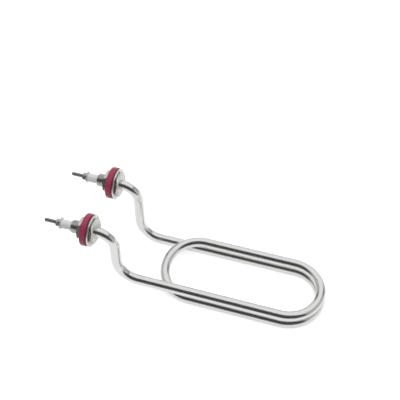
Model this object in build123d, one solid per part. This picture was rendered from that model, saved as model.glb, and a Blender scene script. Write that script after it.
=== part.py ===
from build123d import *
from math import hypot, radians, tan
import os

# Tubular heating element for a tank or a cooking chamber: one bent tube, led out
# through the wall at two threaded fittings.
#
# Frame: millimetres, +Z up. The origin lies on the outer sealing plane (the wall's
# inner face), midway between the two fittings, at the height of their axes.
# +X runs into the chamber, along the heated turns. -X is the wiring side.
# +Y is the rear fitting's side, -Y the front one's.

# Heated tube
tube_d = 10.0
tube_wall = 0.9
turn_gap = 0.6            # free space between the two stacked turns
turn_radius = 32.5        # centreline radius of the round ends
turn_straight = 93.0      # straight length between the round ends
lead_in = 50.5            # straight length from a leg's lower bend to the near round end
leg_drop = 70.0           # fitting axis down to the lower turn's centreline
upper_bend_radius = 16.9  # centreline, next to the fitting
lower_bend_radius = 22.0  # centreline, where the leg runs out flat

# Threaded fitting, brazed over the tube's end: G 1/4, 19 threads per inch
thread_d = 13.157
thread_pitch_d = 12.301
thread_chamfer = 0.9
braze_gap = 0.05          # on the radius, between tube and fitting
hex_flats = 21.0
head_thickness = 3.7
fitting_reach = 13.3      # threaded end beyond the sealing plane
bend_clearance = 0.3      # straight tube left between the head and the upper bend

# Discs on the fitting
bore_gap = 0.15           # on the radius, between the thread and what slides over it
gasket_d = 32.0
gasket_thickness = 5.4
gasket_edge = 1.2
flange_washer_d = gasket_d
flange_washer_thickness = 2.2
flange_washer_edge = 0.9
outer_washer_d = 24.0
outer_washer_thickness = 1.2
washer_edge = 0.25
lock_nut_thickness = 4.0
engaged_gap = 0.05        # on the radius, between a thread and its nut

# Insulated terminal
stud_d = 4.0              # M4
stud_pitch_d = 3.545
stud_reach = 42.0         # stud tip beyond the sealing plane
stud_chamfer = 0.5
thread_into_insulator = 3.0
pin_d = 3.2
pin_end_below_axis = 30.0 # how far down the leg the unheated pin goes
insulator_d = 9.0
insulator_length = 11.2   # outside the tube
insulator_edge = 0.8
insulator_neck_d = 7.9    # plugs into the tube
insulator_neck_length = 3.0
terminal_gap = 0.15       # on the radius, between the stud and what slides over it
terminal_washer_d = 12.0
terminal_washer_thickness = 1.0
spring_washer_d = 7.6
spring_washer_thickness = 1.1
spring_washer_slit = 0.8
terminal_nut_flats = 7.0
terminal_nut_thickness = 3.2

# Inside the tube
fill_gap = 0.05           # between parts that the rolled tube presses together
seal_length = 6.0
coil_d = 4.0

# Worked out from the sizes above
pitch = tube_d + turn_gap
tube_bore = tube_d - 2 * tube_wall
low_z = -leg_drop
high_z = low_z + pitch
head_face = gasket_thickness + flange_washer_thickness + head_thickness
bend_x = head_face + bend_clearance
rise_x = bend_x + upper_bend_radius
flat_x = rise_x + lower_bend_radius
near_turn_x = flat_x + lead_in
far_turn_x = near_turn_x + turn_straight
insulator_end = fitting_reach + insulator_length
terminal_washer_end = insulator_end + terminal_washer_thickness
spring_washer_end = terminal_washer_end + spring_washer_thickness
seal_start = fitting_reach - insulator_neck_length - seal_length

HEX_CORNERS = 2 / 3 ** 0.5  # corner distance over flat distance
FACE_SHARE = 0.95           # turned end face's diameter over the flat distance
CORNER_ANGLE = 30
FLATS_UP = 0
SLIT_SLANT = 20

FRONT = -1
REAR = 1
SIDES = {"front": FRONT, "rear": REAR}


# The tube's route

def leg(side, level, neck_end):
    """Edges from the terminal end of one leg to the start of its turn, at height level."""
    y = side * turn_radius
    elbow = Plane(origin=(0, y, 0), x_dir=(1, 0, 0), z_dir=(0, -1, 0))
    neck = Line((neck_end, y, 0), (bend_x, y, 0))
    upper = elbow * CenterArc((bend_x, -upper_bend_radius), upper_bend_radius, 90, -90)
    rise = Line((rise_x, y, -upper_bend_radius), (rise_x, y, level + lower_bend_radius))
    lower = elbow * CenterArc((flat_x, level + lower_bend_radius), lower_bend_radius, 180, 90)
    run = Line((flat_x, y, level), (near_turn_x, y, level))
    return [neck, upper, rise, lower, run]


def straight(side, level, start_x, end_x):
    y = side * turn_radius
    return Line((start_x, y, level), (end_x, y, level))


def far_turn(level):
    """Round end away from the fittings, from the front straight to the rear one."""
    start = (far_turn_x, FRONT * turn_radius, level)
    end = (far_turn_x, REAR * turn_radius, level)
    return ThreePointArc(start, (far_turn_x + turn_radius, 0, level), end)


def near_turn():
    """Round end that drops one pitch: a flat half circle whose plane is tilted."""
    reach = hypot(turn_radius, pitch / 2)
    start = (near_turn_x, REAR * turn_radius, high_z)
    end = (near_turn_x, FRONT * turn_radius, low_z)
    return ThreePointArc(start, (near_turn_x - reach, 0, (high_z + low_z) / 2), end)


def turns():
    return [
        straight(FRONT, high_z, near_turn_x, far_turn_x),
        far_turn(high_z),
        straight(REAR, high_z, far_turn_x, near_turn_x),
        near_turn(),
        straight(FRONT, low_z, near_turn_x, far_turn_x),
        far_turn(low_z),
        straight(REAR, low_z, far_turn_x, near_turn_x),
    ]


def backwards(edges):
    """The same edges, followed from the other end."""
    def turned_round(edge):
        if edge.geom_type == GeomType.LINE:
            return Line(edge @ 1, edge @ 0)
        return ThreePointArc(edge @ 1, edge @ 0.5, edge @ 0)
    return [turned_round(edge) for edge in reversed(edges)]


def route(neck_end):
    return leg(FRONT, high_z, neck_end) + turns() + backwards(leg(REAR, low_z, neck_end))


def heated_route():
    """The route between the inner ends of the two unheated pins."""
    def below_pin(side, level):
        y = side * turn_radius
        rest_of_rise = Line((rise_x, y, -pin_end_below_axis), (rise_x, y, level + lower_bend_radius))
        return [rest_of_rise] + leg(side, level, 0)[3:]
    return below_pin(FRONT, high_z) + turns() + backwards(below_pin(REAR, low_z))


def swept(edges, diameter, bore=0.0):
    path = Wire(edges)
    start = Plane(origin=path @ 0, z_dir=path % 0)
    section = start * Circle(diameter / 2)
    if bore:
        section -= start * Circle(bore / 2)
    return sweep(section, path=path)


# Turned and hexagonal pieces, built upwards from z = 0 along their own axis. Threads are
# plain: at the major diameter where they are free, and at the pitch diameter inside a nut.

def ring(diameter, bore, thickness, edge=0.0):
    body = extrude(Circle(diameter / 2) - Circle(bore / 2), amount=thickness)
    if edge:
        rims = body.edges().filter_by(GeomType.CIRCLE).filter_by(lambda e: e.radius > bore / 2)
        body = fillet(rims, edge)
    return body


def hexagon(flats, thickness, bore):
    """Hexagon with a round hole, the corners turned off at 30 degrees at both ends."""
    corner_r = flats / 2 * HEX_CORNERS
    face_r = flats / 2 * FACE_SHARE
    drop = (corner_r - face_r) * tan(radians(CORNER_ANGLE))
    bottom = [(0, 0), (face_r, 0), (corner_r, drop)]
    top = [(corner_r, thickness - drop), (face_r, thickness), (0, thickness)]
    blank = revolve(Plane.XZ * make_face(Polyline(*bottom, *top, close=True)), Axis.Z)
    flats_up = RegularPolygon(flats / 2, 6, major_radius=False, rotation=FLATS_UP)
    return (extrude(flats_up, amount=thickness) & blank) - Cylinder(bore / 2, 3 * thickness)


def engaged_thread(major_d, pitch_d, length):
    """What is taken off a shaft's thread where its nut sits."""
    return ring(2 * major_d, pitch_d, length)


def on_fitting(side, start, shape):
    """Puts a piece on a fitting's axis, its z = 0 lying start millimetres outside the wall plane."""
    place = Plane(origin=(-start, side * turn_radius, 0), x_dir=(0, 1, 0), z_dir=(-1, 0, 0))
    return place * shape


def threaded_fitting():
    """Hexagon head and threaded shank in one piece. Its z = 0 is the head's tube side."""
    length = head_face + fitting_reach
    bore = tube_d + 2 * braze_gap
    shank = extrude(Circle(thread_d / 2), amount=length)
    tip = shank.edges().filter_by(GeomType.CIRCLE).sort_by(Axis.Z)[-1]
    shank = chamfer(tip, thread_chamfer)
    under_nut = engaged_thread(thread_d, thread_pitch_d, lock_nut_thickness)
    shank -= Pos(0, 0, head_face + outer_washer_thickness) * under_nut
    body = shank + hexagon(hex_flats, head_thickness, bore)
    return body - extrude(Circle(bore / 2), amount=length)


def insulator():
    """Ceramic sleeve: a neck that plugs into the tube, then the body. z = 0 is the body's seat."""
    body = extrude(Circle(insulator_d / 2), amount=insulator_length)
    body = fillet(body.edges().filter_by(GeomType.CIRCLE).sort_by(Axis.Z)[-1], insulator_edge)
    neck = extrude(Circle(insulator_neck_d / 2), amount=-insulator_neck_length)
    bore = Cylinder(stud_d / 2 + terminal_gap, 3 * insulator_length)
    return body + neck - bore


def spring_washer():
    """Split ring, pressed flat by the nut."""
    bore = stud_d + 2 * terminal_gap
    slit = Rotation(0, SLIT_SLANT, 0) * Box(spring_washer_slit, spring_washer_d, 4 * spring_washer_thickness)
    slit = Pos(0, spring_washer_d / 2, spring_washer_thickness / 2) * slit
    return ring(spring_washer_d, bore, spring_washer_thickness) - slit


def terminal_stud(side):
    """M4 stud, turned down to the pin that carries the current past the fitting and down the leg."""
    shoulder = insulator_end - thread_into_insulator
    thread = extrude(Circle(stud_d / 2), amount=stud_reach - shoulder)
    tip = thread.edges().filter_by(GeomType.CIRCLE).sort_by(Axis.Z)[-1]
    thread = on_fitting(side, shoulder, chamfer(tip, stud_chamfer))
    under_nut = engaged_thread(stud_d, stud_pitch_d, terminal_nut_thickness)
    thread -= on_fitting(side, spring_washer_end, under_nut)
    neck, upper, _, _, _ = leg(side, high_z, -shoulder)
    y = side * turn_radius
    end = Line((rise_x, y, -upper_bend_radius), (rise_x, y, -pin_end_below_axis))
    return thread + swept([neck, upper, end], pin_d)


def end_seal():
    """Resin plug round the pin, behind the insulator's neck. z = 0 is the end next to the filling."""
    return ring(tube_bore - 2 * fill_gap, pin_d + 2 * fill_gap, seal_length)


# The pieces

pieces = {}
pieces["heating_tube"] = swept(route(-fitting_reach), tube_d, tube_bore)

fill_d = tube_bore - 2 * fill_gap
fill_route = route(-seal_start)
filling = swept(fill_route, fill_d, pin_d + 2 * fill_gap)
pieces["magnesia_filling"] = filling - swept(heated_route(), coil_d + 2 * fill_gap)
pieces["resistance_coil"] = swept(heated_route(), coil_d)

for name, side in SIDES.items():
    bore = thread_d + 2 * bore_gap
    terminal_bore = stud_d + 2 * terminal_gap
    flange_washer = ring(flange_washer_d, bore, flange_washer_thickness, flange_washer_edge)
    gasket = ring(gasket_d, bore, gasket_thickness, gasket_edge)
    outer_washer = ring(outer_washer_d, bore, outer_washer_thickness, washer_edge)
    lock_nut = hexagon(hex_flats, lock_nut_thickness, thread_pitch_d + 2 * engaged_gap)
    terminal_washer = ring(terminal_washer_d, terminal_bore, terminal_washer_thickness, washer_edge)
    terminal_nut = hexagon(terminal_nut_flats, terminal_nut_thickness, stud_pitch_d + 2 * engaged_gap)
    pieces[name + "_threaded_fitting"] = on_fitting(side, -head_face, threaded_fitting())
    pieces[name + "_flange_washer"] = on_fitting(side, head_thickness - head_face, flange_washer)
    pieces[name + "_silicone_gasket"] = on_fitting(side, -gasket_thickness, gasket)
    pieces[name + "_outer_washer"] = on_fitting(side, 0, outer_washer)
    pieces[name + "_lock_nut"] = on_fitting(side, outer_washer_thickness, lock_nut)
    pieces[name + "_end_seal"] = on_fitting(side, seal_start, end_seal())
    pieces[name + "_ceramic_insulator"] = on_fitting(side, fitting_reach, insulator())
    pieces[name + "_terminal_washer"] = on_fitting(side, insulator_end, terminal_washer)
    pieces[name + "_spring_washer"] = on_fitting(side, terminal_washer_end, spring_washer())
    pieces[name + "_terminal_nut"] = on_fitting(side, spring_washer_end, terminal_nut)
    pieces[name + "_terminal_stud"] = terminal_stud(side)

os.makedirs("parts", exist_ok=True)
for name, shape in pieces.items():
    export_step(shape, "parts/" + name + ".step")
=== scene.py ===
import math

import bmesh
import bpy
from mathutils import Matrix, Vector


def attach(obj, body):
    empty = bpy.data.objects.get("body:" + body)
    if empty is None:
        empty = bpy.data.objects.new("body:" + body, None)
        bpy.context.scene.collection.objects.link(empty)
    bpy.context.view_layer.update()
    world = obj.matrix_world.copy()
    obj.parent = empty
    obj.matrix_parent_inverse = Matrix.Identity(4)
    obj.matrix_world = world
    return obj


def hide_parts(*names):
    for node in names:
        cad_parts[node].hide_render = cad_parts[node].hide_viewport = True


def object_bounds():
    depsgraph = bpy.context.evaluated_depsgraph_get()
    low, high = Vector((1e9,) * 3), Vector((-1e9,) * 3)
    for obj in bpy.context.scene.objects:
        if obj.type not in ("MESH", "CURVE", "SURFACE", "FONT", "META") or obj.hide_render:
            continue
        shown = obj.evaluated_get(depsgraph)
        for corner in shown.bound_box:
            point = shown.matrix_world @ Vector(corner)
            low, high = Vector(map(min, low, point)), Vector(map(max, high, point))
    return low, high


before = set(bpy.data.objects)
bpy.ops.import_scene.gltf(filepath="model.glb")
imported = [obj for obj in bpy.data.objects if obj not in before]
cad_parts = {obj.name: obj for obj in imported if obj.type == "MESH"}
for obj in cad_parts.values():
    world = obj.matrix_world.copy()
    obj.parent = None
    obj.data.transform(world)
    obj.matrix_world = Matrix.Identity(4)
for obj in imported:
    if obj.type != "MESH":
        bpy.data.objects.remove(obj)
cad_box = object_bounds()

# A tubular heating element, in metres. +X runs into the tank along the turns and -X is the
# wiring side. The origin lies midway between the two fittings, on the wall's inner face.
MM = 0.001

# The bent tube
tube_r = 5.0 * MM
bore_r = 4.1 * MM
turn_r = 32.5 * MM
pitch = 10.6 * MM
low_z = -70.0 * MM
high_z = low_z + pitch
upper_bend_r = 16.9 * MM
lower_bend_r = 22.0 * MM
bend_x = 11.6 * MM
rise_x = bend_x + upper_bend_r
flat_x = rise_x + lower_bend_r
near_turn_x = 101.0 * MM
far_turn_x = 194.0 * MM
bend_step = math.radians(2.5)
ovality = 0.02        # how much a bend is squeezed flat, as a share of the radius
ovality_steps = 10    # how many steps of a bend the squeeze takes to come and to go

# The fittings and terminals: how far each piece starts outside the wall's inner face
head_start = -11.3 * MM
flange_washer_start = -8.3 * MM
gasket_start = -7.3 * MM
outer_washer_start = 0.0
lock_nut_start = 1.2 * MM
fitting_end = 13.3 * MM
insulator_end = 24.5 * MM
spring_washer_start = 25.5 * MM
terminal_nut_start = 26.6 * MM
stud_shoulder = 21.5 * MM
stud_end = 42.0 * MM

# Discs, nuts and the insulator
slide_gap = 0.15 * MM  # on the radius, between a thread and what slides over it
braze_gap = 0.05 * MM  # on the radius, between the tube and its fitting
gasket_r = 16.0 * MM
gasket_neck_r = 13.0 * MM
gasket_neck_length = 1.7 * MM
backing_washer_r = 15.7 * MM
nut_washer_r = 12.0 * MM
screw_washer_r = 6.0 * MM
split_washer_r = 3.8 * MM
insulator_r = 4.5 * MM
insulator_neck_r = 3.95 * MM
insulator_neck_length = 3.0 * MM
lock_nut_thickness = 4.0 * MM
lock_nut_bore_r = 6.2 * MM
terminal_nut_thickness = 3.2 * MM
terminal_nut_bore_r = 1.82 * MM

# G 1/4 and M4 threads
fitting_thread = {"radius": 6.5785 * MM, "pitch": 25.4 / 19 * MM, "depth": 0.856 * MM, "chamfer": 0.9 * MM}
stud_thread = {"radius": 2.0 * MM, "pitch": 0.7 * MM, "depth": 0.43 * MM, "chamfer": 0.5 * MM}
head_flats = 24.0 * MM
lock_flats = 21.0 * MM
terminal_flats = 7.0 * MM
pin_r = 1.6 * MM
pin_end_z = -30.0 * MM

# Hexagons: the turned end face against the flats, the angle turned off, and the eased edges
face_share = 0.95
corner_angle = math.radians(30)
large_hex_edge = 0.18 * MM
small_hex_edge = 0.08 * MM

# How finely the meshes are made
weld = 0.0002 * MM
shading_angle = math.radians(32)
easing_angle = math.radians(22)
hex_segments = 144
tube_segments = 64
pin_segments = 32

SIDES = {"front": -1, "rear": 1}


# ---- Making meshes ----

def as_piece(name, mesh):
    """Closes the mesh, smooths all but its hard edges and puts it in the scene."""
    bmesh.ops.remove_doubles(mesh, verts=mesh.verts, dist=weld)
    bmesh.ops.recalc_face_normals(mesh, faces=mesh.faces)
    for face in mesh.faces:
        face.smooth = True
    for edge in mesh.edges:
        if len(edge.link_faces) == 2 and edge.calc_face_angle(0.0) > shading_angle:
            edge.smooth = False
    data = bpy.data.meshes.new(name)
    mesh.to_mesh(data)
    mesh.free()
    piece = bpy.data.objects.new(name, data)
    bpy.context.scene.collection.objects.link(piece)
    return piece


def ring_of(mesh, radii, height):
    """One ring of vertices round Z, its radius given at each step or the same all round."""
    count = len(radii)
    ring = []
    for step, radius in enumerate(radii):
        angle = 2 * math.pi * step / count
        ring.append(mesh.verts.new((radius * math.cos(angle), radius * math.sin(angle), height)))
    return ring


def join(mesh, low, high):
    """Faces between two rings that have as many vertices."""
    count = len(low)
    for i in range(count):
        j = (i + 1) % count
        mesh.faces.new((low[i], low[j], high[j], high[i]))


def softened(profile, edge, steps=3):
    """A closed profile with each corner rounded off by a small arc."""
    points = []
    count = len(profile)
    # An arc takes a little under half of a side, so that two arcs never meet
    side_share = 2.01
    for i in range(count):
        before, corner, after = (Vector(profile[(i + k) % count]) for k in (-1, 0, 1))
        toward_before = (before - corner).normalized()
        toward_after = (after - corner).normalized()
        reach = min(edge, (before - corner).length / side_share, (after - corner).length / side_share)
        start, end = corner + toward_before * reach, corner + toward_after * reach
        for step in range(steps + 1):
            t = step / steps
            points.append((1 - t) ** 2 * start + 2 * t * (1 - t) * corner + t ** 2 * end)
    return points


def turned(name, profile, segments=128):
    """A lathe-turned ring: a closed profile of (radius, height) points spun round Z."""
    mesh = bmesh.new()
    rings = [ring_of(mesh, [radius] * segments, height) for radius, height in profile]
    for low, high in zip(rings, rings[1:] + rings[:1]):
        join(mesh, low, high)
    return as_piece(name, mesh)


def hexagon_radii(flats, segments):
    """Distance from the middle of a hexagon to its side, all round, with a corner on X."""
    sector = math.radians(60)
    radii = []
    for step in range(segments):
        within = (2 * math.pi * step / segments) % sector - sector / 2
        radii.append(flats / 2 / math.cos(within))
    return radii


def hexagon_rings(mesh, flats, thickness, segments):
    """The outside of a hexagon whose corners are turned off at 30 degrees at both ends."""
    sides = hexagon_radii(flats, segments)
    face_r = flats / 2 * face_share
    drop = [(side - face_r) * math.tan(corner_angle) for side in sides]
    bottom = ring_of(mesh, [face_r] * segments, 0.0)
    lower = ring_of(mesh, sides, 0.0)
    upper = ring_of(mesh, sides, 0.0)
    for i in range(segments):
        lower[i].co.z = drop[i]
        upper[i].co.z = thickness - drop[i]
    top = ring_of(mesh, [face_r] * segments, thickness)
    return [bottom, lower, upper, top]


def soften_edges(mesh, width):
    """Rounds the hard edges a little, as tumbling leaves them."""
    hard = [
        edge for edge in mesh.edges
        if len(edge.link_faces) == 2 and edge.calc_face_angle(0.0) > easing_angle
    ]
    bmesh.ops.bevel(
        mesh, geom=hard, offset=width, segments=2, profile=0.5, affect="EDGES", clamp_overlap=True)


def nut(name, flats, thickness, bore, edge):
    """Hexagon nut with a countersunk bore, so the thread starts below the face."""
    segments = hex_segments
    mesh = bmesh.new()
    rings = hexagon_rings(mesh, flats, thickness, segments)
    countersink_share = 0.12
    sink = countersink_share * bore
    rings.append(ring_of(mesh, [bore + sink] * segments, thickness))
    rings.append(ring_of(mesh, [bore] * segments, thickness - sink))
    rings.append(ring_of(mesh, [bore] * segments, sink))
    rings.append(ring_of(mesh, [bore + sink] * segments, 0.0))
    for low, high in zip(rings, rings[1:] + rings[:1]):
        join(mesh, low, high)
    soften_edges(mesh, edge)
    return as_piece(name, mesh)


def thread_radius(thread, height, turn, length):
    """Radius of a vee thread with flat crests and roots, which runs out over the chamfer at the top."""
    flat, flank = 0.14, 0.72
    ridge = 1 - abs(2 * ((height / thread["pitch"] - turn) % 1.0) - 1)
    crest = min(1.0, max(0.0, (ridge - flat) / flank))
    chamfered = thread["radius"] - max(0.0, height - (length - thread["chamfer"]))
    return min(thread["radius"] - thread["depth"] * (1 - crest), chamfered)


def thread_rings(mesh, thread, start, length, segments, rows_per_turn):
    """Rings of vertices up a threaded shank, from start on."""
    rows = math.ceil(length / thread["pitch"] * rows_per_turn)
    rings = []
    for row in range(rows + 1):
        height = length * row / rows
        radii = [thread_radius(thread, height, step / segments, length) for step in range(segments)]
        rings.append(ring_of(mesh, radii, start + height))
    return rings


def threaded_fitting(name):
    """Hexagon head and threaded shank in one piece, bored through for the tube."""
    segments = hex_segments
    mesh = bmesh.new()
    bore = tube_r + braze_gap
    head = flange_washer_start - head_start
    length = fitting_end - head_start
    rings = hexagon_rings(mesh, head_flats, head, segments)
    inner = ring_of(mesh, [bore] * segments, 0.0)
    root = ring_of(mesh, [fitting_thread["radius"]] * segments, head)
    for low, high in zip([inner] + rings, rings + [root]):
        join(mesh, low, high)
    soften_edges(mesh, large_hex_edge)
    bmesh.ops.remove_doubles(mesh, verts=mesh.verts, dist=weld)
    root = rim(mesh, head, fitting_thread["radius"], segments)
    inner = rim(mesh, 0.0, bore, segments)
    shank = thread_rings(mesh, fitting_thread, head, length - head, segments, rows_per_turn=12)
    join(mesh, root, shank[0])
    for low, high in zip(shank, shank[1:]):
        join(mesh, low, high)
    mouth = ring_of(mesh, [bore] * segments, length)
    join(mesh, shank[-1], mouth)
    join(mesh, mouth, inner)
    return as_piece(name, mesh)


def rim(mesh, height, radius, segments):
    """The open edge's vertices at this height and radius, in order round Z from X."""
    near = 0.001 * MM
    found = [
        v for v in mesh.verts
        if abs(v.co.z - height) < near and abs(math.hypot(v.co.x, v.co.y) - radius) < near
    ]
    half_step = math.pi / segments
    return sorted(found, key=lambda v: (math.atan2(v.co.y, v.co.x) + half_step) % (2 * math.pi))


# ---- The tube's route ----

def arc(start, centre, axis, angle):
    """Points along an arc after its start, and its end."""
    steps = max(1, round(abs(angle) / bend_step))
    spoke = start - centre
    return [centre + Matrix.Rotation(angle * k / steps, 3, axis) @ spoke for k in range(1, steps + 1)]


def leg_route(side, level, neck_x):
    """From a fitting into the tank, down and out flat to the start of the turns."""
    y = side * turn_r
    across = Vector((0, 1, 0))
    points = [Vector((neck_x, y, 0)), Vector((bend_x, y, 0))]
    points += arc(points[-1], Vector((bend_x, y, -upper_bend_r)), across, math.pi / 2)
    points.append(Vector((rise_x, y, level + lower_bend_r)))
    points += arc(points[-1], Vector((flat_x, y, level + lower_bend_r)), across, -math.pi / 2)
    points.append(Vector((near_turn_x, y, level)))
    return points


def round_the_end(points, level):
    """Along the front straight, round the far end and back along the rear straight."""
    up = Vector((0, 0, 1))
    points.append(Vector((far_turn_x, -turn_r, level)))
    points += arc(points[-1], Vector((far_turn_x, 0, level)), up, math.pi)
    points.append(Vector((near_turn_x, turn_r, level)))


def tube_route():
    """From the front terminal through one and a half turns to the rear terminal."""
    points = leg_route(-1, high_z, -fitting_end)
    round_the_end(points, high_z)
    middle = Vector((near_turn_x, 0, (high_z + low_z) / 2))
    tilt = Vector((0, -pitch / 2, turn_r)).normalized()
    points += arc(points[-1], middle, tilt, math.pi)
    round_the_end(points, low_z)
    points += list(reversed(leg_route(1, low_z, -fitting_end)))[1:]
    return points


def pin_route(side):
    """The unheated pin, from the stud's shoulder round the upper bend and down the leg."""
    y = side * turn_r
    points = [Vector((-stud_shoulder, y, 0)), Vector((bend_x, y, 0))]
    points += arc(points[-1], Vector((bend_x, y, -upper_bend_r)), Vector((0, 1, 0)), math.pi / 2)
    points.append(Vector((rise_x, y, pin_end_z)))
    return points


def along(points):
    """Each point with the direction of the route there and the distance run so far."""
    run = 0.0
    for i, point in enumerate(points):
        before = points[max(i - 1, 0)]
        after = points[min(i + 1, len(points) - 1)]
        run += (point - before).length
        yield point, (after - before).normalized(), run


def bend_amounts(points):
    """At each point 0 on a straight run, rising smoothly to 1 inside a bend and falling again."""
    turning = [False] * len(points)
    least_turn, even_step = bend_step * 0.6, 0.001 * MM
    for i in range(1, len(points) - 1):
        one, two = points[i] - points[i - 1], points[i + 1] - points[i]
        turning[i] = one.angle(two) > least_turn and abs(one.length - two.length) < even_step
    straight = [i for i, bent in enumerate(turning) if not bent]
    amounts = []
    for i in range(len(points)):
        reach = min(min(abs(i - k) for k in straight) / ovality_steps, 1.0)
        amounts.append(reach * reach * (3 - 2 * reach))
    return amounts


def swept(mesh, points, radius, segments, flattened=0.0):
    """Rings of vertices along the route, carried round its bends without twisting, and the
    distance run at each ring."""
    rings = []
    side = None
    runs = []
    bent = bend_amounts(points)
    for i, (point, forward, run) in enumerate(along(points)):
        if side is None:
            side = forward.orthogonal().normalized()
        side = (side - forward * side.dot(forward)).normalized()
        other = forward.cross(side)
        squeeze, inward = 0.0, side
        if flattened and bent[i]:
            turn = points[i + 1] - 2 * points[i] + points[i - 1]
            squeeze, inward = flattened * bent[i], turn.normalized()
        ring = []
        for step in range(segments):
            angle = 2 * math.pi * step / segments
            spoke = side * math.cos(angle) + other * math.sin(angle)
            ring.append(mesh.verts.new(point + spoke * radius * (1 - squeeze * spoke.dot(inward) ** 2)))
        rings.append(ring)
        runs.append(run)
    return rings, runs


def tube_piece():
    """The sheath: its outside and its bore, joined at both ends. The UVs run in metres, along
    the tube and round it."""
    segments = tube_segments
    mesh = bmesh.new()
    points = tube_route()
    outside, runs = swept(mesh, points, tube_r, segments, ovality)
    inside, _ = swept(mesh, points, bore_r, segments, ovality)
    uv = mesh.loops.layers.uv.new("along_and_round")
    for rings, radius in ((outside, tube_r), (inside, bore_r)):
        for k in range(len(rings) - 1):
            for i in range(segments):
                j = (i + 1) % segments
                face = mesh.faces.new((rings[k][i], rings[k][j], rings[k + 1][j], rings[k + 1][i]))
                for loop, (row, step) in zip(face.loops, ((k, i), (k, i + 1), (k + 1, i + 1), (k + 1, i))):
                    loop[uv].uv = (runs[row], 2 * math.pi * radius * step / segments)
    join(mesh, outside[0], inside[0])
    join(mesh, outside[-1], inside[-1])
    return as_piece("bent_sheath", mesh)


def terminal_stud(name, side):
    """Threaded stud and, as a second closed shell on its end, the plain pin inside the tube."""
    segments = tube_segments
    mesh = bmesh.new()
    length = stud_end - stud_shoulder
    thread = thread_rings(mesh, stud_thread, 0.0, length, segments, rows_per_turn=10)
    for low, high in zip(thread, thread[1:]):
        join(mesh, low, high)
    mesh.faces.new(list(reversed(thread[0])))
    mesh.faces.new(thread[-1])
    mesh.transform(on_axis(side, stud_shoulder))
    pin, _ = swept(mesh, pin_route(side), pin_r, pin_segments)
    for low, high in zip(pin, pin[1:]):
        join(mesh, low, high)
    mesh.faces.new(list(reversed(pin[0])))
    mesh.faces.new(pin[-1])
    return as_piece(name, mesh)


def on_axis(side, start):
    """Lays a piece built up +Z onto a terminal's axis, its z = 0 lying start outside the wall."""
    turn = Matrix(((0, 0, -1), (1, 0, 0), (0, -1, 0))).to_4x4()
    return Matrix.Translation((-start, side * turn_r, 0)) @ turn


def split_washer(name, outer, inner, thickness):
    """Spring washer: a square-section ring, cut through at a slant and sprung a little open."""
    mesh = bmesh.new()
    edge, steps = 0.12 * MM, 96
    gap, slant = math.radians(13), math.radians(20)
    section = softened([(inner, 0), (outer, 0), (outer, thickness), (inner, thickness)], edge, steps=2)
    rings = []
    for step in range(steps + 1):
        t = step / steps
        ring = []
        for radius, height in section:
            lean = (height / thickness - 0.5) * thickness * math.tan(slant) / radius
            angle = math.pi / 2 + gap / 2 + (2 * math.pi - gap) * t + lean
            ring.append(mesh.verts.new((radius * math.cos(angle), radius * math.sin(angle), height)))
        rings.append(ring)
    for low, high in zip(rings, rings[1:]):
        join(mesh, low, high)
    mesh.faces.new(list(reversed(rings[0])))
    mesh.faces.new(rings[-1])
    return as_piece(name, mesh)


def washer(name, outer, inner, thickness, edge):
    """Flat washer with the rounded rims that stamping leaves."""
    return turned(name, softened([(inner, 0), (outer, 0), (outer, thickness), (inner, thickness)], edge))


def gasket(name, outer, inner, thickness):
    """Moulded ring on a narrower neck, with the fine flash line that the mould leaves round its rim."""
    edge, flash, flash_foot, flash_land = 0.45 * MM, 0.12 * MM, 0.25 * MM, 0.08 * MM
    neck, neck_length = gasket_neck_r, gasket_neck_length
    rim_r, middle = outer - flash, (thickness + neck_length) / 2
    profile = [
        (inner, 0), (neck, 0), (neck, neck_length),
        (rim_r, neck_length), (rim_r, thickness), (inner, thickness),
    ]
    rims = softened(profile, edge, steps=5)
    outside = max(i for i, point in enumerate(rims) if point[1] < middle)
    parting = [
        (rim_r, middle - flash_foot), (outer, middle - flash_land),
        (outer, middle + flash_land), (rim_r, middle + flash_foot),
    ]
    return turned(name, rims[:outside + 1] + parting + rims[outside + 1:])


def insulator(name):
    """Ceramic sleeve with rounded corners, and a narrower neck that enters the tube."""
    body, neck, bore = insulator_r, insulator_neck_r, stud_thread["radius"] + slide_gap
    length, depth, edge = insulator_end - fitting_end, insulator_neck_length, 0.7 * MM
    profile = [(bore, -depth), (neck, -depth), (neck, 0), (body, 0), (body, length), (bore, length)]
    return turned(name, softened(profile, edge, steps=5))


# ---- Surfaces ----

def linear(colour):
    """An sRGB hex colour as the linear colour that the sockets take."""
    channels = [int(colour[i:i + 2], 16) / 255 for i in (1, 3, 5)]
    return tuple(c / 12.92 if c <= 0.04045 else ((c + 0.055) / 1.055) ** 2.4 for c in channels) + (1.0,)


def surface(name):
    """A new material with an empty node tree."""
    material = bpy.data.materials.new(name)
    material.use_nodes = True
    material.node_tree.nodes.clear()
    return material


def add(material, kind, settings, links, **properties):
    """Adds one node, with its properties, the values of its sockets and what links into them."""
    node = material.node_tree.nodes.new(kind)
    for key, value in properties.items():
        setattr(node, key, value)
    for socket, value in settings.items():
        node.inputs[socket].default_value = value
    for socket, source in links.items():
        material.node_tree.links.new(source, node.inputs[socket])
    return node


def per(size_mm):
    """A pattern's scale from the size of one of its features."""
    return 1 / (size_mm * MM)


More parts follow.
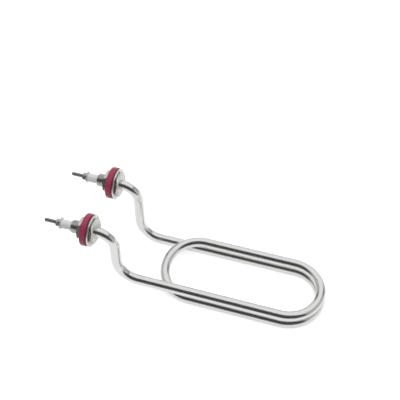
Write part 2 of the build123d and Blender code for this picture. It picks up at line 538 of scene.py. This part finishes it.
def drawn_stainless():
    """Stainless tube, drawn through a die and bright annealed: a clear mirror, softened by faint
    lines along the tube and by slight waves where it was rolled down onto its filling."""
    m = surface("drawn_stainless")
    uv = add(m, "ShaderNodeTexCoord", {}, {})
    # Die lines are about 0.05 mm apart, drawn here at 0.35 mm so that they show
    lines_at = add(m, "ShaderNodeMapping", {"Scale": (per(60), per(0.35), 1)}, {"Vector": uv.outputs["UV"]})
    lines = add(m, "ShaderNodeTexNoise", {"Scale": 1, "Detail": 2, "Roughness": 0.5},
                {"Vector": lines_at.outputs[0]})
    waves = add(m, "ShaderNodeTexNoise", {"Scale": per(14), "Detail": 2}, {"Vector": uv.outputs["Object"]})
    colour = add(m, "ShaderNodeMix", {"A": linear("#E2E2E1"), "B": linear("#EAEAE9")},
                 {"Factor": waves.outputs["Fac"]}, data_type="RGBA")
    gloss = add(m, "ShaderNodeMapRange", {"From Min": 0.3, "From Max": 0.7, "To Min": 0.19, "To Max": 0.27},
                {"Value": lines.outputs["Fac"]})
    wavy = add(m, "ShaderNodeBump", {"Strength": 0.06, "Distance": 0.25 * MM},
               {"Height": waves.outputs["Fac"]})
    lined = add(m, "ShaderNodeBump", {"Strength": 0.06, "Distance": 0.01 * MM},
                {"Height": lines.outputs["Fac"], "Normal": wavy.outputs[0]})
    steel = add(m, "ShaderNodeBsdfPrincipled", {"Metallic": 1.0}, {
        "Base Color": colour.outputs["Result"], "Roughness": gloss.outputs[0], "Normal": lined.outputs[0]})
    add(m, "ShaderNodeOutputMaterial", {}, {"Surface": steel.outputs[0]})
    return m


def worked_metal(name, colour, darker, line_mm, smooth, rough):
    """Bare metal with the fine marks that its making left round the part. They spread the
    highlight into a band, and the tone varies a little from place to place."""
    m = surface(name)
    place = add(m, "ShaderNodeTexCoord", {}, {})
    tone = add(m, "ShaderNodeTexNoise", {"Scale": per(3), "Detail": 3}, {"Vector": place.outputs["Object"]})
    # The marks run round the part, so they vary along X and hardly at all round it
    marks_at = add(m, "ShaderNodeMapping", {"Scale": (per(line_mm), per(6), per(6))},
                   {"Vector": place.outputs["Object"]})
    marks = add(m, "ShaderNodeTexNoise", {"Scale": 1, "Detail": 2}, {"Vector": marks_at.outputs[0]})
    shade = add(m, "ShaderNodeMix", {"A": linear(darker), "B": linear(colour)},
                {"Factor": tone.outputs["Fac"]}, data_type="RGBA")
    gloss = add(m, "ShaderNodeMapRange",
                {"From Min": 0.3, "From Max": 0.7, "To Min": smooth, "To Max": rough},
                {"Value": marks.outputs["Fac"]})
    grooves = add(m, "ShaderNodeBump", {"Strength": 0.15, "Distance": 0.02 * MM},
                  {"Height": marks.outputs["Fac"]})
    steel = add(m, "ShaderNodeBsdfPrincipled", {"Metallic": 1.0}, {
        "Base Color": shade.outputs["Result"], "Roughness": gloss.outputs[0], "Normal": grooves.outputs[0]})
    add(m, "ShaderNodeOutputMaterial", {}, {"Surface": steel.outputs[0]})
    return m


def moulded_silicone():
    """Crimson silicone rubber, moulded: a dull satin skin with a fine, slightly uneven grain."""
    m = surface("moulded_silicone")
    place = add(m, "ShaderNodeTexCoord", {}, {})
    tone = add(m, "ShaderNodeTexNoise", {"Scale": per(5), "Detail": 3}, {"Vector": place.outputs["Object"]})
    grain = add(m, "ShaderNodeTexNoise", {"Scale": per(0.4), "Detail": 2},
                {"Vector": place.outputs["Object"]})
    red = add(m, "ShaderNodeMix", {"A": linear("#A83A58"), "B": linear("#BC4A68")},
              {"Factor": tone.outputs["Fac"]}, data_type="RGBA")
    sheen = add(m, "ShaderNodeMapRange", {"To Min": 0.34, "To Max": 0.5}, {"Value": grain.outputs["Fac"]})
    skin = add(m, "ShaderNodeBump", {"Strength": 0.2, "Distance": 0.04 * MM},
               {"Height": grain.outputs["Fac"]})
    # The sheen is the pale bloom that silicone shows where it turns away
    rubber = add(m, "ShaderNodeBsdfPrincipled",
                 {"IOR": 1.41, "Sheen Weight": 1.0, "Sheen Roughness": 0.3},
                 {"Base Color": red.outputs["Result"], "Roughness": sheen.outputs[0],
                  "Normal": skin.outputs[0]})
    add(m, "ShaderNodeOutputMaterial", {}, {"Surface": rubber.outputs[0]})
    return m


def grainy_insulation(name, colour, speck, grain_mm, smooth, rough, ior):
    """Pressed, packed or cast insulation: pale and faintly speckled, with a soft to dull sheen."""
    m = surface(name)
    place = add(m, "ShaderNodeTexCoord", {}, {})
    specks = add(m, "ShaderNodeTexNoise", {"Scale": per(grain_mm), "Detail": 3},
                 {"Vector": place.outputs["Object"]})
    shade = add(m, "ShaderNodeMix", {"A": linear(speck), "B": linear(colour)},
                {"Factor": specks.outputs["Fac"]}, data_type="RGBA")
    gloss = add(m, "ShaderNodeMapRange", {"To Min": smooth, "To Max": rough},
                {"Value": specks.outputs["Fac"]})
    skin = add(m, "ShaderNodeBump", {"Strength": 0.1, "Distance": 0.03 * MM},
               {"Height": specks.outputs["Fac"]})
    body = add(m, "ShaderNodeBsdfPrincipled", {"IOR": ior}, {
        "Base Color": shade.outputs["Result"], "Roughness": gloss.outputs[0], "Normal": skin.outputs[0]})
    add(m, "ShaderNodeOutputMaterial", {}, {"Surface": body.outputs[0]})
    return m


sheath_steel = drawn_stainless()
# Stainless cut on a lathe: the tool's fine rings give a cross glint
fitting_steel = worked_metal(
    "turned_stainless", colour="#D6D8D2", darker="#C4C6BF", line_mm=0.25, smooth=0.22, rough=0.34)
# Stainless stamped from sheet and tumbled: bright, with soft edges to its reflections
washer_steel = worked_metal(
    "stamped_stainless", colour="#ECECEA", darker="#E2E2E0", line_mm=0.5, smooth=0.34, rough=0.46)
# Steel with its thread rolled on: greyer and duller than the turned pieces
stud_steel = worked_metal(
    "rolled_steel_thread", colour="#C6C6C4", darker="#AEAEAC", line_mm=0.3, smooth=0.34, rough=0.46)
# Hardened spring steel with its black oxide left on: a thin dark line under the nut
spring_steel = worked_metal(
    "blackened_spring_steel", colour="#55555A", darker="#3E3E42", line_mm=0.4, smooth=0.38, rough=0.5)
# Resistance wire, drawn and oxidised: brownish grey and nearly dull
nichrome = worked_metal(
    "drawn_nichrome", colour="#8C8680", darker="#76706A", line_mm=0.3, smooth=0.35, rough=0.5)
silicone = moulded_silicone()
# Steatite, pressed and fired: clean white with a glaze-like sheen
steatite = grainy_insulation(
    "fired_steatite", colour="#F8F8FA", speck="#EEEEF3", grain_mm=0.6, smooth=0.3, rough=0.42, ior=1.6)
# Magnesium oxide powder, packed hard by rolling the tube: chalky and dull
magnesia = grainy_insulation(
    "compacted_magnesia", colour="#E6E3DA", speck="#CFCBC0", grain_mm=0.3, smooth=0.8, rough=0.95, ior=1.7)
# Resin, cast into the tube's mouth: buff and slightly glossy
seal_resin = grainy_insulation(
    "cast_resin", colour="#CDBFA6", speck="#BBAD94", grain_mm=1.5, smooth=0.4, rough=0.55, ior=1.5)


# ---- The element ----

def fit_piece(piece, node, material):
    """Gives a piece its surface and lets it stand for its CAD node."""
    piece.data.materials.clear()
    piece.data.materials.append(material)
    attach(piece, "root")
    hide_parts(node)


def refinish(node, material):
    """Gives a hidden CAD node, which keeps its own mesh, its surface."""
    for material_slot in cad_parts[node].material_slots:
        material_slot.material = material


fit_piece(tube_piece(), "heating_tube", sheath_steel)
refinish("magnesia_filling", magnesia)
refinish("resistance_coil", nichrome)

thread_clear = fitting_thread["radius"] + slide_gap
stud_clear = stud_thread["radius"] + slide_gap
backing_washer_thickness = gasket_start - flange_washer_start
gasket_thickness = -gasket_start
nut_washer_thickness = lock_nut_start - outer_washer_start
screw_washer_thickness = spring_washer_start - insulator_end
split_washer_thickness = terminal_nut_start - spring_washer_start

for end, side in SIDES.items():
    # Each CAD node with the piece that stands for it, where the piece starts, and its surface
    made = [
        ("threaded_fitting", threaded_fitting(end + "_hexagon_fitting"),
         head_start, "fitting_steel", fitting_steel),
        ("flange_washer",
         washer(end + "_backing_washer", backing_washer_r, thread_clear, backing_washer_thickness,
                edge=0.3 * MM),
         flange_washer_start, "washer_steel", washer_steel),
        ("silicone_gasket", gasket(end + "_gasket", gasket_r, thread_clear, gasket_thickness),
         gasket_start, "silicone", silicone),
        ("outer_washer",
         washer(end + "_nut_washer", nut_washer_r, thread_clear, nut_washer_thickness, edge=0.25 * MM),
         outer_washer_start, "washer_steel", washer_steel),
        ("lock_nut",
         nut(end + "_clamping_nut", lock_flats, lock_nut_thickness, lock_nut_bore_r, large_hex_edge),
         lock_nut_start, "fitting_steel", fitting_steel),
        ("ceramic_insulator", insulator(end + "_insulator"), fitting_end, "ceramic", steatite),
        ("terminal_washer",
         washer(end + "_screw_washer", screw_washer_r, stud_clear, screw_washer_thickness, edge=0.2 * MM),
         insulator_end, "washer_steel", washer_steel),
        ("spring_washer",
         split_washer(end + "_split_washer", split_washer_r, stud_clear, split_washer_thickness),
         spring_washer_start, "spring_steel", spring_steel),
        ("terminal_nut",
         nut(end + "_screw_nut", terminal_flats, terminal_nut_thickness, terminal_nut_bore_r,
             small_hex_edge),
         terminal_nut_start, "stud_steel", stud_steel),
    ]
    for node, piece, start, slot, material in made:
        piece.data.transform(on_axis(side, start))
        fit_piece(piece, end + "_" + node, material)
    fit_piece(terminal_stud(end + "_stud", side), end + "_terminal_stud", stud_steel)
    refinish(end + "_end_seal", seal_resin)


# ---- Studio ----

def studio_floor():
    """White table, lit like the rest. It is lifted to plain white where it is seen, and only a
    little where the steel mirrors it, so that the steel keeps its darker bands."""
    mesh = bmesh.new()
    reach = 3.0
    square = ((-reach, -reach), (reach, -reach), (reach, reach), (-reach, reach))
    mesh.faces.new([mesh.verts.new((x, y, cad_box[0][2])) for x, y in square])
    bmesh.ops.subdivide_edges(mesh, edges=mesh.edges, cuts=3, use_grid_fill=True)
    floor = as_piece("white_table", mesh)
    m = surface("matt_white_board")
    place = add(m, "ShaderNodeTexCoord", {}, {})
    grain = add(m, "ShaderNodeTexNoise", {"Scale": per(2), "Detail": 2},
                {"Vector": place.outputs["Object"]})
    tone = add(m, "ShaderNodeMix", {"A": linear("#F6F6F6"), "B": linear("#FAFAFA")},
               {"Factor": grain.outputs["Fac"]}, data_type="RGBA")
    board = add(m, "ShaderNodeBsdfPrincipled", {"Roughness": 0.9, "Specular IOR Level": 0.0},
                {"Base Color": tone.outputs["Result"]})
    seen = add(m, "ShaderNodeLightPath", {}, {})
    mirrored = add(m, "ShaderNodeMath", {},
                   {0: seen.outputs["Is Glossy Ray"], 1: seen.outputs["Is Transmission Ray"]},
                   operation="MAXIMUM")
    in_steel = add(m, "ShaderNodeMath", {1: 0.3}, {0: mirrored.outputs[0]}, operation="MULTIPLY")
    # The panels' light falls off away from the element, so the table's own white takes over there
    middle = add(m, "ShaderNodeVectorMath", {1: (0.08, 0.0, 0.0)}, {0: place.outputs["Object"]},
                 operation="DISTANCE")
    white = add(m, "ShaderNodeMapRange", {"From Min": 0.4, "From Max": 1.5, "To Min": 0.6, "To Max": 1.0},
                {"Value": middle.outputs["Value"]}, interpolation_type="SMOOTHSTEP")
    lift = add(m, "ShaderNodeMath", {},
               {0: seen.outputs["Is Camera Ray"], 1: white.outputs[0], 2: in_steel.outputs[0]},
               operation="MULTIPLY_ADD")
    glow = add(m, "ShaderNodeEmission", {}, {"Strength": lift.outputs[0]})
    both = add(m, "ShaderNodeAddShader", {}, {0: board.outputs[0], 1: glow.outputs[0]})
    add(m, "ShaderNodeOutputMaterial", {}, {"Surface": both.outputs[0]})
    floor.data.materials.append(m)


def softbox(name, place, target, size, radiance):
    """Evenly lit panel, facing the element. Its power follows from how bright its face is to look like."""
    lamp = bpy.data.lights.new(name, "AREA")
    lamp.shape = "RECTANGLE"
    lamp.size, lamp.size_y = size
    lamp.energy = radiance * math.pi * size[0] * size[1]
    panel = bpy.data.objects.new(name, lamp)
    panel.location = place
    panel.rotation_euler = (Vector(target) - Vector(place)).to_track_quat("-Z", "Y").to_euler()
    bpy.context.scene.collection.objects.link(panel)
    return panel


def room():
    """White to look at and dim grey as a light, so that the panels make the steel's bright bands."""
    world = bpy.data.worlds.new("studio")
    bpy.context.scene.world = world
    world.use_nodes = True
    world.node_tree.nodes.clear()
    seen = add(world, "ShaderNodeLightPath", {}, {})
    dim = add(world, "ShaderNodeBackground", {"Color": linear("#FFFFFF"), "Strength": 0.06}, {})
    white = add(world, "ShaderNodeBackground", {"Color": linear("#FFFFFF"), "Strength": 1.0}, {})
    either = add(world, "ShaderNodeMixShader", {},
                 {0: seen.outputs["Is Camera Ray"], 1: dim.outputs[0], 2: white.outputs[0]})
    add(world, "ShaderNodeOutputWorld", {}, {"Surface": either.outputs[0]})


def camera():
    """Looks down at the element from the front, turned a little towards its far end."""
    azimuth, elevation, roll = 0.320, 0.824, -0.015
    target, distance = Vector((0.0726, 0.0973, -0.0700)), 0.9135
    level = math.cos(elevation)
    forward = Vector((-math.sin(azimuth) * level, math.cos(azimuth) * level, -math.sin(elevation)))
    level_right = forward.cross(Vector((0, 0, 1))).normalized()
    level_up = level_right.cross(forward)
    right = level_right * math.cos(roll) + level_up * math.sin(roll)
    up = level_up * math.cos(roll) - level_right * math.sin(roll)
    lens = bpy.data.cameras.new("camera")
    lens.lens, lens.sensor_width = 74.9, 36.0
    lens.clip_start, lens.clip_end = 0.01, 20.0
    eye = bpy.data.objects.new("camera", lens)
    turn = Matrix((right, up, -forward)).transposed().to_4x4()
    eye.matrix_world = Matrix.Translation(target - forward * distance) @ turn
    bpy.context.scene.collection.objects.link(eye)
    bpy.context.scene.camera = eye


studio_floor()
softbox("overhead_panel",
        place=(0.08, 0.75, 1.25), target=(0.08, 0.75, 0.0), size=(2.6, 2.3), radiance=0.85)
softbox("rear_panel",
        place=(0.08, 2.0, 0.55), target=(0.08, 0.0, 0.1), size=(3.0, 1.3), radiance=0.7)
softbox("left_panel",
        place=(-1.6, 0.3, 0.55), target=(0.0, 0.3, 0.1), size=(2.0, 1.2), radiance=0.5)
softbox("right_panel",
        place=(1.8, 0.3, 0.55), target=(0.2, 0.3, 0.1), size=(2.0, 1.2), radiance=0.5)
# The key lights the matt pieces alone: mirrored in the steel it would be a hard white patch
key = softbox("key_panel",
              place=(-0.2, -0.5, 1.4), target=(0.08, 0.0, 0.0), size=(0.9, 0.9), radiance=2.5)
key.visible_glossy = False
room()
camera()
bpy.context.scene.view_settings.view_transform = "Standard"
